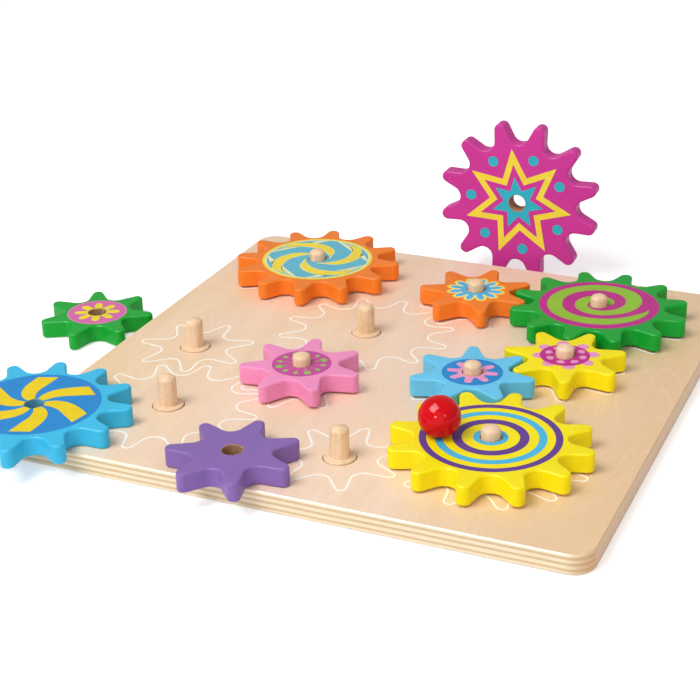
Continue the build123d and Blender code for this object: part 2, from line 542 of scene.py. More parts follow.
    def washed(self, base: Socket, *washes: tuple[Steps, Socket]) -> Socket:
        """Colour with thin washes of other colours over it.

        Args:
            base: Colour at the bottom.
            washes: Colours in 0 to 255 steps, each with its share.

        Returns:
            The washed colour.
        """
        for colour, share in washes:
            base = self.mix(base, colour, share)
        return base

    def axis_share(self, vector: Socket, axis: int) -> Socket:
        """One axis of a coordinate."""
        return self._node("ShaderNodeSeparateXYZ", {0: vector}).outputs[axis]

    def wave_height(self, height: Socket, wobble: Socket, per_metre: float, sway: float = 0.16) -> Socket:
        """Sawtooth across the plies, with a slight wobble.

        Args:
            height: Height in metres.
            wobble: Noise that bends the layers.
            per_metre: Plies in one metre of height.
            sway: Share of a ply that the noise bends them by.

        Returns:
            Share through each ply, from 0 to 1.
        """
        count = self._math("MULTIPLY", height, per_metre)
        return self._math("FRACT", self._math("ADD", count, self._math("MULTIPLY", wobble, sway)))

    def facing(self, axis: int) -> Socket:
        """How squarely the surface faces along an axis, either way, from 0 to 1."""
        normal = self._node("ShaderNodeNewGeometry", {}).outputs["True Normal"]
        return self._math("ABSOLUTE", self.axis_share(normal, axis))

    def facing_up(self) -> Socket:
        """1 where the surface faces up or down and 0 on the edge of the board."""
        return self._math("GREATER_THAN", self.facing(2), 0.8)

    def bump(self, height: Socket, strength: float, depth: float, under: Socket | None = None) -> Socket:
        """Relief from a height.

        Args:
            height: Height value.
            strength: Share of the relief that shows.
            depth: Depth in metres.
            under: Relief below this one.

        Returns:
            The normal socket.
        """
        read = {"Height": height, "Strength": strength, "Distance": depth}
        if under is not None:
            read["Normal"] = under
        return self._node("ShaderNodeBump", read).outputs["Normal"]

    def principled(self, inputs: dict[str, Socket | float]) -> Socket:
        """Principled shader of these inputs."""
        return self._node("ShaderNodeBsdfPrincipled", inputs).outputs["BSDF"]

    def shade(
        self, tint: Socket, gloss: Socket, relief: Socket, specular: float, coat: float = 0.0
    ) -> bpy.types.Material:
        """Finishes the material.

        Args:
            tint: Colour.
            gloss: Roughness.
            relief: Normal.
            specular: Strength of the mirrored light.
            coat: Weight of a clear coat.

        Returns:
            The finished material.
        """
        inputs = {"Base Color": tint, "Roughness": gloss, "Normal": relief, "Specular IOR Level": specular}
        if coat:
            inputs |= {"Coat Weight": coat, "Coat Roughness": 0.2}
        self.tree.links.new(self.principled(inputs), self.output.inputs["Surface"])
        return self.material

    def seen_white(self, shader: Socket, lift: float) -> bpy.types.Material:
        """Adds a white lift that only the camera, gloss and glass see.

        Args:
            shader: Shader to lift.
            lift: Strength of the lift.

        Returns:
            The finished material.
        """
        path = self._node("ShaderNodeLightPath", {}).outputs
        seen = self._math("MAXIMUM", path["Is Camera Ray"], path["Is Glossy Ray"])
        seen = self._math("MAXIMUM", seen, path["Is Transmission Ray"])
        strength = self._math("MULTIPLY", seen, lift)
        glow = self._node("ShaderNodeEmission", {"Color": (1, 1, 1, 1), "Strength": strength})
        both = self._node("ShaderNodeAddShader", {0: shader, 1: glow.outputs[0]})
        self.tree.links.new(both.outputs[0], self.output.inputs["Surface"])
        return self.material


class FinishShelf:
    """Keeps each finish once it is made, so that pieces share it."""

    def __init__(self) -> None:
        """Starts with an empty shelf."""
        self.made: dict[str, bpy.types.Material] = {}

    def take(self, finish: Finish) -> bpy.types.Material:
        """Hands out a finish, made on first use.

        Args:
            finish: The finish that a piece needs.

        Returns:
            Its material.
        """
        if finish.name not in self.made:
            self.made[finish.name] = finish.build()
        return self.made[finish.name]

    def ink(self, colour: Paint) -> bpy.types.Material:
        """Hands out the printing ink of a colour."""
        return self.take(PrintInk("ink_" + colour.name.lower().replace("print_", ""), colour))


# ------------------------------------------------------------------ shapes


def only(items: list[bpy.types.bpy_struct], kind: type) -> list[bpy.types.bpy_struct]:
    """Items of one kind out of an operator's mixed result."""
    return [item for item in items if isinstance(item, kind)]


def polar(radius: float, bearing: float) -> Vector:
    """Point at a radius and a bearing in degrees."""
    return Matrix.Rotation(math.radians(bearing), 3, "Z") @ Vector((radius, 0, 0))


@dataclass(frozen=True)
class ToothForm:
    """Closed toothed outline: tip arcs, straight flanks and valley arcs, in millimetres."""

    teeth: int
    tip_r: float
    root_r: float
    tip_arc: float
    flank_deg: float
    tip_steps: int = 7
    valley_steps: int = 7

    def grown(self, amount: float) -> "ToothForm":
        """The same outline moved outwards all round by an amount."""
        return replace(self, tip_r=self.tip_r + amount, root_r=self.root_r + amount, tip_arc=self.tip_arc + amount)

    def draw(self, mesh: Mesh, height: float) -> list[Edge]:
        """Draws the outline: half a tooth is spun and extruded, mirrored, then spun round the wheel.

        Args:
            mesh: Mesh that gets the outline.
            height: Height of the outline.

        Returns:
            The edges of the outline.
        """
        outline = bmesh.new()
        half_pitch = math.pi / self.teeth
        flank = math.radians(self.flank_deg)
        normal = Vector((math.sin(flank), math.cos(flank), 0))
        tip_centre = Vector((self.tip_r - self.tip_arc, 0, 0))
        # The valley's arc is tangent to both flanks and touches the root circle.
        lift = math.sin(half_pitch + flank)
        valley_r = (self.root_r * lift - tip_centre.x * math.sin(flank) - self.tip_arc) / (1 - lift)
        floor_way = Vector((math.cos(half_pitch), math.sin(half_pitch), 0))
        valley_centre = floor_way * (self.root_r + valley_r)
        tip = outline.verts.new((self.tip_r, 0, 0))
        spun = bmesh.ops.spin(
            outline, geom=[tip], cent=tip_centre, axis=(0, 0, 1),
            angle=math.pi / 2 - flank, steps=self.tip_steps,
        )
        tip_end = only(spun["geom_last"], Vert)[0]
        valley_start = bmesh.ops.extrude_vert_indiv(outline, verts=[tip_end])["verts"][0]
        bmesh.ops.translate(
            outline, verts=[valley_start], vec=valley_centre - normal * valley_r - tip_end.co
        )
        bmesh.ops.spin(
            outline, geom=[valley_start], cent=valley_centre, axis=(0, 0, 1),
            angle=half_pitch + flank - math.pi / 2, steps=self.valley_steps,
        )
        bmesh.ops.mirror(
            outline, geom=outline.verts[:] + outline.edges[:], matrix=Matrix.Identity(4),
            merge_dist=MERGE_MM, axis="Y",
        )
        repeat_round(outline, self.teeth)
        bmesh.ops.remove_doubles(outline, verts=outline.verts[:], dist=MERGE_MM)
        bmesh.ops.translate(outline, verts=outline.verts[:], vec=(0, 0, height))
        return pour(outline, mesh)


def repeat_round(mesh: Mesh, count: int) -> None:
    """Copies everything in a mesh evenly round the axis.

    Args:
        mesh: Mesh that holds one of them.
        count: How many there are in the end.
    """
    bmesh.ops.spin(
        mesh, geom=mesh.verts[:] + mesh.edges[:] + mesh.faces[:], cent=(0, 0, 0), axis=(0, 0, 1),
        angle=2 * math.pi * (count - 1) / count, steps=count - 1, use_duplicate=True,
    )


def pour(source: Mesh, target: Mesh) -> list[Edge]:
    """Moves everything in one mesh into another.

    Args:
        source: Mesh that is emptied and freed.
        target: Mesh that gets it.

    Returns:
        The edges that were added.
    """
    before = len(target.edges)
    carrier = bpy.data.meshes.new("carrier")
    source.to_mesh(carrier)
    source.free()
    target.from_mesh(carrier)
    bpy.data.meshes.remove(carrier)
    target.edges.ensure_lookup_table()
    return target.edges[before:]


def ring(mesh: Mesh, radius: float, height: float, segments: int) -> list[Edge]:
    """Circle of edges about the axis.

    Args:
        mesh: Mesh that gets the circle.
        radius: Radius in millimetres.
        height: Height in millimetres.
        segments: Number of edges.

    Returns:
        The edges of the circle.
    """
    made = bmesh.ops.create_circle(
        mesh, cap_ends=False, segments=segments, radius=radius, matrix=Matrix.Translation((0, 0, height))
    )
    return list({edge for vert in made["verts"] for edge in vert.link_edges})


def join_loops(mesh: Mesh, loops: list[list[Edge]]) -> None:
    """Bridges each loop of edges to the next one."""
    for lower, upper in zip(loops, loops[1:]):
        bmesh.ops.bridge_loops(mesh, edges=lower + upper)


def rounded_rim(radius: float, steps: int) -> list[Span]:
    """Inset from the wall and drop below the face for each step of a quarter-round rim, from the wall up."""
    turns = [math.pi / 2 * count / steps for count in range(steps + 1)]
    return [(radius * (1 - math.cos(turn)), radius * (1 - math.sin(turn))) for turn in turns]


def add_object(name: str, data: bpy.types.ID) -> bpy.types.Object:
    """Puts new data into the scene as an object.

    Args:
        name: Name of the object.
        data: Its mesh, lamp or camera.

    Returns:
        The object.
    """
    item = bpy.data.objects.new(name, data)
    bpy.context.scene.collection.objects.link(item)
    return item


@dataclass(frozen=True)
class Piece:
    """Turns a millimetre mesh into a placed, dressed object that rides on a body."""

    name: str
    body: str
    slot: str

    def finish(
        self, mesh: Mesh, place: Matrix, finishes: list[bpy.types.Material],
        stands_for: tuple[str, ...] = (), crisp: float = 40.0,
    ) -> None:
        """Cleans the mesh, puts it in place in metres and hangs it on its body's empty.

        Args:
            mesh: Mesh in millimetres, freed here.
            place: Place of the piece in the row frame, in millimetres.
            finishes: Materials, by the faces' material index.
            stands_for: CAD nodes that the piece stands for.
            crisp: Angle in degrees above which an edge stays sharp.
        """
        bmesh.ops.remove_doubles(mesh, verts=mesh.verts[:], dist=MERGE_MM)
        bmesh.ops.transform(mesh, matrix=Matrix.Scale(MM, 4) @ place, verts=mesh.verts[:])
        bmesh.ops.recalc_face_normals(mesh, faces=mesh.faces[:])
        for face in mesh.faces:
            face.smooth = True
        for edge in mesh.edges:
            edge.smooth = len(edge.link_faces) == 2 and edge.calc_face_angle(0) < math.radians(crisp)
        data = bpy.data.meshes.new(self.name)
        mesh.to_mesh(data)
        mesh.free()
        for finish in finishes:
            data.materials.append(finish)
        piece = add_object(self.name, data)
        weights = piece.modifiers.new("even_shading", "WEIGHTED_NORMAL")
        weights.keep_sharp = True
        weights.weight = FACE_WEIGHT
        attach(piece, self.body)
        if stands_for:
            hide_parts(*stands_for)
        LOG.info("%s: %d faces on %s", self.name, len(data.polygons), self.body)


# ------------------------------------------------------------------ prints


@dataclass(frozen=True)
class PrintSheet:
    """Sizes of a printed layer: how far it stands over the paint and reaches into it, and its hole."""

    proud: float = 0.06
    sunk: float = 0.08
    bore_clear: float = 5.45
    circle_steps: int = 96
    dot_steps: int = 28


SHEET = PrintSheet()


@dataclass(frozen=True)
class PrintedFace:
    """Flat face that takes prints: its body and slot, its place with Z out of it, and the finishes."""

    body: str
    slot: str
    place: Matrix
    shelf: FinishShelf


class PrintLayer:
    """One ink of a printed pattern, drawn flat in millimetres about the wheel's axis."""

    def __init__(self, name: str, ink: Paint, face: PrintedFace) -> None:
        """Starts an empty layer.

        Args:
            name: Name of the printed piece.
            ink: Its one colour.
            face: Face that takes it.
        """
        self.name = name
        self.ink = ink
        self.face = face
        self.mesh = bmesh.new()

    def band(self, outer: float, inner: float = SHEET.bore_clear) -> "PrintLayer":
        """Adds a flat ring between two radii."""
        join_loops(self.mesh, [ring(self.mesh, radius, 0, SHEET.circle_steps) for radius in (outer, inner)])
        return self

    def star(self, form: ToothForm, turn: float, hole: float | ToothForm = SHEET.bore_clear) -> "PrintLayer":
        """Adds a star or flower about the axis with a hole in its middle.

        Args:
            form: Outline of the star.
            turn: Bearing of its first point, in degrees.
            hole: Radius of a round hole, or the outline of one with as many points.

        Returns:
            This layer.
        """
        flat = bmesh.new()
        outer = form.draw(flat, 0)
        inner = hole.draw(flat, 0) if isinstance(hole, ToothForm) else ring(flat, hole, 0, len(outer))
        join_loops(flat, [outer, inner])
        return self._spread(flat, 1, turn)

    def dots(self, count: int, radius: float, turn: float, size: Span, pinch: float = 0.0) -> "PrintLayer":
        """Adds round or oval dots spaced evenly round a circle.

        Args:
            count: Number of dots.
            radius: Distance of their middles from the axis.
            turn: Bearing of the first dot, in degrees.
            size: Half size outwards and half size sideways.
            pinch: How much narrower the end towards the axis is.

        Returns:
            This layer.
        """
        flat = bmesh.new()
        bmesh.ops.create_circle(flat, cap_ends=True, segments=SHEET.dot_steps, radius=1)
        for vert in flat.verts:
            bmesh.ops.scale(flat, verts=[vert], vec=(1, 1 + pinch * min(0, vert.co.x), 1))
        bmesh.ops.scale(flat, verts=flat.verts[:], vec=(size[0], size[1], 1))
        bmesh.ops.translate(flat, verts=flat.verts[:], vec=(radius, 0, 0))
        return self._spread(flat, count, turn)

    def arms(self, count: int, turn: float, sides: list[Triple]) -> "PrintLayer":
        """Adds curved arms that run outwards along a swirl.

        Args:
            count: Number of arms round the circle.
            turn: Extra bearing of the first arm, in degrees.
            sides: Radius, bearing and half width in degrees of each step.

        Returns:
            This layer.
        """
        edges = [(polar(radius, bearing - half), polar(radius, bearing + half)) for radius, bearing, half in sides]
        return self._spread(self._swept(edges), count, turn)

    def ribbon(self, sides: list[Triple]) -> "PrintLayer":
        """Adds a ribbon along a spiral from the bearing, outer radius and inner radius of each step."""
        edges = [(polar(outer, bearing), polar(inner, bearing)) for bearing, outer, inner in sides]
        return self._spread(self._swept(edges), 1, 0)

    @staticmethod
    def _swept(edges: list[tuple[Vector, Vector]]) -> Mesh:
        """Extrudes an edge step by step.

        Args:
            edges: Both ends of the edge at each step.

        Returns:
            A mesh of the strip.
        """
        flat = bmesh.new()
        ends = [flat.verts.new(point) for point in edges[0]]
        edge = flat.edges.new(ends)
        for goal in edges[1:]:
            grown = bmesh.ops.extrude_edge_only(flat, edges=[edge])["geom"]
            edge = only(grown, Edge)[0]
            made = only(grown, Vert)
            made.sort(key=lambda vert: (vert.co - ends[0].co).length)
            ends = made
            for vert, point in zip(ends, goal):
                bmesh.ops.translate(flat, verts=[vert], vec=point - vert.co)
        return flat

    def _spread(self, flat: Mesh, count: int, turn: float) -> "PrintLayer":
        """Repeats a drawn shape round the axis and adds it to the layer.

        Args:
            flat: Mesh of one shape, freed here.
            count: Number of copies.
            turn: Bearing of the first one, in degrees.

        Returns:
            This layer.
        """
        spin = Matrix.Rotation(math.radians(turn), 3, "Z")
        bmesh.ops.rotate(flat, verts=flat.verts[:], cent=(0, 0, 0), matrix=spin)
        if count > 1:
            repeat_round(flat, count)
        pour(flat, self.mesh)
        return self

    def nudge(self, x: float, y: float) -> "PrintLayer":
        """Moves the whole layer sideways, as a print that is a little off the axis."""
        bmesh.ops.translate(self.mesh, verts=self.mesh.verts[:], vec=(x, y, 0))
        return self

    def lay(self, over: float = 0.0) -> None:
        """Thickens the layer and lays it on its face.

        Args:
            over: Extra height, for a layer that covers another one.
        """
        grown = bmesh.ops.extrude_face_region(self.mesh, geom=self.mesh.faces[:], use_keep_orig=True)
        rise = (0, 0, SHEET.proud + SHEET.sunk + over)
        bmesh.ops.translate(self.mesh, verts=only(grown["geom"], Vert), vec=rise)
        bmesh.ops.translate(self.mesh, verts=self.mesh.verts[:], vec=(0, 0, -SHEET.sunk))
        face = self.face
        Piece(self.name, face.body, face.slot).finish(self.mesh, face.place, [face.shelf.ink(self.ink)])


def smooth_steps(knots: list[Triple], between: int) -> list[Triple]:
    """Rows of numbers eased between knots.

    Args:
        knots: Rows that the curve passes through.
        between: Steps from one knot to the next.

    Returns:
        The knots with the eased rows between them.
    """
    rows = []
    padded = [knots[0], *knots, knots[-1]]
    for around in zip(padded, knots, knots[1:], padded[3:]):
        for count in range(between):
            share = count / between
            rows.append(tuple(
                0.5 * (2 * b + (c - a) * share + (2 * a - 5 * b + 4 * c - d) * share**2
                       + (3 * b - a - 3 * c + d) * share**3)
                for a, b, c, d in zip(*around)
            ))
    return rows + [tuple(knots[-1])]


# ------------------------------------------------------------------ the toy's pieces


LARGE = ToothForm(teeth=12, tip_r=49.3, root_r=36.2, tip_arc=3.6, flank_deg=13.0)
SMALL = ToothForm(teeth=7, tip_r=32.2, root_r=19.3, tip_arc=3.2, flank_deg=15.0)


def spot(name: str) -> Vector:
    """Centre of a CAD node's box, in millimetres."""
    low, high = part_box(name)
    return (low + high) / 2 / MM


@dataclass
class ToothedWheel:
    """A painted toothed wheel with a bare wooden bore.

    Its flat faces drop by land_drop at the rim, because two outlines in one plane bridge with a twist.
    """

    shelf: FinishShelf
    node: str
    body: str
    slot: str
    form: ToothForm
    paint: Paint
    phase: float
    bore: DrilledWood = DrilledWood()
    thick: float = 10.0
    bore_r: float = 5.0
    skin: float = 0.02
    rim: float = 1.1
    rim_land: float = 0.25
    land_drop: float = 0.01
    rim_steps: int = 4
    bore_rim: float = 0.4
    bore_rim_steps: int = 2
    face: PrintedFace | None = None

    def on_peg(self, peg: str) -> "ToothedWheel":
        """Makes the wheel on the foot of its peg."""
        middle = spot(peg)
        return self.flat_at(middle.x, middle.y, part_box(self.node)[0].z / MM)

    def lying(self, mount: str, surface: float) -> "ToothedWheel":
        """Makes a loose wheel on a surface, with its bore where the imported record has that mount."""
        places = {row["name"]: row["pos_m"] for row in frame["record"]["mounts"]}
        return self.flat_at(places[mount][0] / MM, places[mount][1] / MM, surface)

    def flat_at(self, x: float, y: float, surface: float) -> "ToothedWheel":
        """Makes the wheel flat on a surface, in millimetres."""
        return self.make(Matrix.Translation((x, y, surface + self.thick)))

    def make(self, place: Matrix) -> "ToothedWheel":
        """Builds the wheel from stacked outlines, bridged and filled, and paints it.

        Args:
            place: Place of the middle of the printed face, not turned, with Z out of it.

        Returns:
            This wheel, ready for its prints.
        """
        self.face = PrintedFace(self.body, self.slot, place, self.shelf)
        mesh = bmesh.new()
        flat = self.rim + self.rim_land
        rim = [(inset, drop + self.land_drop) for inset, drop in rounded_rim(self.rim, self.rim_steps)]
        levels = [(flat, -self.thick)] + [(inset, -self.thick + drop) for inset, drop in reversed(rim)]
        levels += [(inset, -drop) for inset, drop in rim] + [(flat, 0)]
        outside = [self.form.grown(-inset - self.skin).draw(mesh, height) for inset, height in levels]
        join_loops(mesh, outside)
        lip = rounded_rim(self.bore_rim, self.bore_rim_steps)
        inner = [(inset, -self.thick + drop) for inset, drop in reversed(lip)]
        inner += [(inset, -drop) for inset, drop in lip]
        bore = [ring(mesh, self.bore_r + inset, height, len(outside[0])) for inset, height in inner]
        join_loops(mesh, [bore[0], outside[0]])
        join_loops(mesh, [outside[-1], bore[-1]])
        painted = set(mesh.faces)
        join_loops(mesh, bore)
        for part in set(mesh.faces) - painted:
            part.material_index = 1
        paint = PaintedWood("paint_" + self.paint.name.lower(), self.paint)
        Piece(self.node + "_painted", self.body, self.slot).finish(
            mesh, place @ Matrix.Rotation(math.radians(self.phase), 4, "Z"),
            [self.shelf.take(paint), self.shelf.take(self.bore)], stands_for=(self.node,),
        )
        return self

    def layer(self, name: str, ink: Paint) -> PrintLayer:
        """Starts a printed layer of this wheel."""
        return PrintLayer(f"{self.node}_{name}", ink, self.face)


@dataclass
class TurnedPeg:
    """A turned peg: a foot seated in the board and a shank with a domed top."""

    node: str
    board_thick: float = 10.0
    peg_proud: float = 17.1
    shank_r: float = 4.7
    edge_round: float = 2.4
    edge_turn: float = 62.0
    edge_steps: int = 5
    dome_steps: int = 4
    foot_r: float = 7.85
    foot_proud: float = 0.9
    foot_ease: float = 0.6
    foot_steps: int = 3
    foot_depth: float = 6.0
    root_fillet: float = 0.25
    turns: int = 56

    def make(self, shelf: FinishShelf) -> None:
        """Spins the peg's profile round its axis.

        Args:
            shelf: Shelf of finishes.
        """
        middle = spot(self.node)
        seat_floor = self.board_thick - self.foot_depth
        foot_top = self.board_thick + self.foot_proud
        peg_top = self.board_thick + self.peg_proud
        lathe = Lathe([(0, seat_floor), (self.foot_r, seat_floor), (self.foot_r, foot_top - self.foot_ease)])
        lathe.arc((self.foot_r - self.foot_ease, foot_top - self.foot_ease), self.foot_steps)
        lathe.go(self.shank_r + self.root_fillet, foot_top)
        lathe.go(self.shank_r, foot_top + self.root_fillet)
        turn = math.radians(self.edge_turn)
        cap_r = (self.shank_r - self.edge_round * (1 - math.cos(turn))) / math.cos(turn)
        shoulder = peg_top - cap_r * (1 - math.sin(turn)) - self.edge_round * math.sin(turn)
        lathe.go(self.shank_r, shoulder)
        lathe.arc((self.shank_r - self.edge_round, shoulder), self.edge_steps, self.edge_turn)
        lathe.arc((0, peg_top - cap_r), self.dome_steps, 90 - self.edge_turn)
        Piece(self.node + "_turned", "board", "beech_pegs").finish(
            lathe.spin(self.turns), Matrix.Translation((middle.x, middle.y, 0)),
            [shelf.take(TurnedBeech())], stands_for=(self.node,), crisp=50,
        )


class Lathe:
    """Profile of radius and height that is spun about the axis."""

    def __init__(self, points: list[Span]) -> None:
        """Starts the profile.

        Args:
            points: Radius and height of its first points.
        """
        self.mesh = bmesh.new()
        self.end = self.mesh.verts.new((points[0][0], 0, points[0][1]))
        for radius, height in points[1:]:
            self.go(radius, height)

    def go(self, radius: float, height: float) -> None:
        """Extrudes the profile's end.

        Args:
            radius: Radius that the end goes to.
            height: Height that it goes to.
        """
        made = bmesh.ops.extrude_vert_indiv(self.mesh, verts=[self.end])["verts"][0]
        bmesh.ops.translate(self.mesh, verts=[made], vec=Vector((radius, 0, height)) - made.co)
        self.end = made

    def arc(self, centre: Span, steps: int, angle: float = 90.0) -> None:
        """Spins the profile's end about a centre, up and inwards.

        Args:
            centre: Radius and height of the arc's centre.
            steps: Number of edges.
            angle: Turn in degrees.
        """
        spun = bmesh.ops.spin(
            self.mesh, geom=[self.end], cent=(centre[0], 0, centre[1]), axis=(0, -1, 0),
            angle=math.radians(angle), steps=steps,
        )
        self.end = only(spun["geom_last"], Vert)[0]

    def spin(self, turns: int) -> Mesh:
        """Spins the whole profile once round the axis.

        Args:
            turns: Number of steps round.

        Returns:
            The closed mesh.
        """
        bmesh.ops.spin(
            self.mesh, geom=self.mesh.verts[:] + self.mesh.edges[:], cent=(0, 0, 0), axis=(0, 0, 1),
            angle=2 * math.pi, steps=turns, use_merge=True,
        )
        bmesh.ops.remove_doubles(self.mesh, verts=self.mesh.verts[:], dist=MERGE_MM)
        return self.mesh


@dataclass
class CrankKnob:
    """The round knob that turns the crank wheel, with the pin that holds it."""

    knob_r: float = 10.2
    flat: float = 0.6
    pin_r: float = 3.0
    pin_clear: float = 0.05
    pin_in_knob: float = 9.0
    arc_steps: int = 40
    turns: int = 72

    def make(self, shelf: FinishShelf) -> None:
        """Spins the ball on its small flat and dresses the pin.

        Args:
            shelf: Shelf of finishes.
        """
        middle = spot("crank_knob")
        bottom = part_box("crank_knob")[0].z / MM
        centre = bottom + self.knob_r - self.flat
        flat_r = math.sqrt(self.knob_r**2 - (self.knob_r - self.flat) ** 2)
        hole_r = self.pin_r + self.pin_clear
        hole_top = bottom + self.pin_in_knob
        lathe = Lathe([(0, hole_top), (hole_r, hole_top), (hole_r, bottom), (flat_r, bottom)])
        lathe.arc((0, centre), self.arc_steps, 90 - math.degrees(math.atan2(bottom - centre, flat_r)))
        Piece("crank_knob_lacquered", "crank_wheel", "knob_lacquer").finish(
            lathe.spin(self.turns), Matrix.Translation((middle.x, middle.y, 0)),
            [shelf.take(GlossLacquer())], stands_for=("crank_knob",), crisp=60,
        )
        dress_node("crank_pin", shelf.take(TurnedBeech()))


def dress_node(name: str, finish: bpy.types.Material) -> None:
    """Gives a carried-over CAD node its finish.

    Args:
        name: Name of the node.
        finish: Its material.
    """
    data = frame["nodes"][name].data
    data.materials.clear()
    data.materials.append(finish)
    LOG.info("%s: dressed", name)


@dataclass
class GearBoard:
    """The plywood board with a white printed outline round each peg."""

    thick: float = 10.0
    line: float = 1.0
    large_line: ToothForm = ToothForm(teeth=12, tip_r=48.0, root_r=34.6, tip_arc=2.6, flank_deg=13.0)
    small_line: ToothForm = ToothForm(teeth=7, tip_r=31.5, root_r=18.3, tip_arc=2.4, flank_deg=15.0)
    phases: dict[str, float] = field(default_factory=lambda: {
        "peg_for_magenta": 56.0, "peg_for_green_small": 31.5, "peg_for_purple": 37.6, "peg_for_blue": 33.9,
        "peg_orange_large": 13.2, "peg_pink": 7.0, "peg_orange_small": 42.7, "peg_green_large": 24.4,
        "peg_yellow_small": 26.5, "peg_sky": 9.5, "peg_crank": 25.5,
    })
    large_pegs: tuple[str, ...] = (
        "peg_for_magenta", "peg_for_blue", "peg_orange_large", "peg_green_large", "peg_crank"
    )

    def make(self, shelf: FinishShelf) -> None:
        """Dresses the board and prints the outlines.

        Args:
            shelf: Shelf of finishes.
        """
        dress_node("base_board", shelf.take(BirchPly()))
        for peg, phase in self.phases.items():
            form = self.large_line if peg in self.large_pegs else self.small_line
            middle = spot(peg)
            place = Matrix.Translation((middle.x, middle.y, self.thick))
            turned = place @ Matrix.Rotation(math.radians(phase), 4, "Z")
            face = PrintedFace("board", "birch_board", turned, shelf)
            layer = PrintLayer(f"outline_of_{peg}", Paint.PRINT_WHITE, face)
            join_loops(layer.mesh, [form.grown(side * self.line / 2).draw(layer.mesh, 0) for side in (-1, 1)])
            layer.lay()


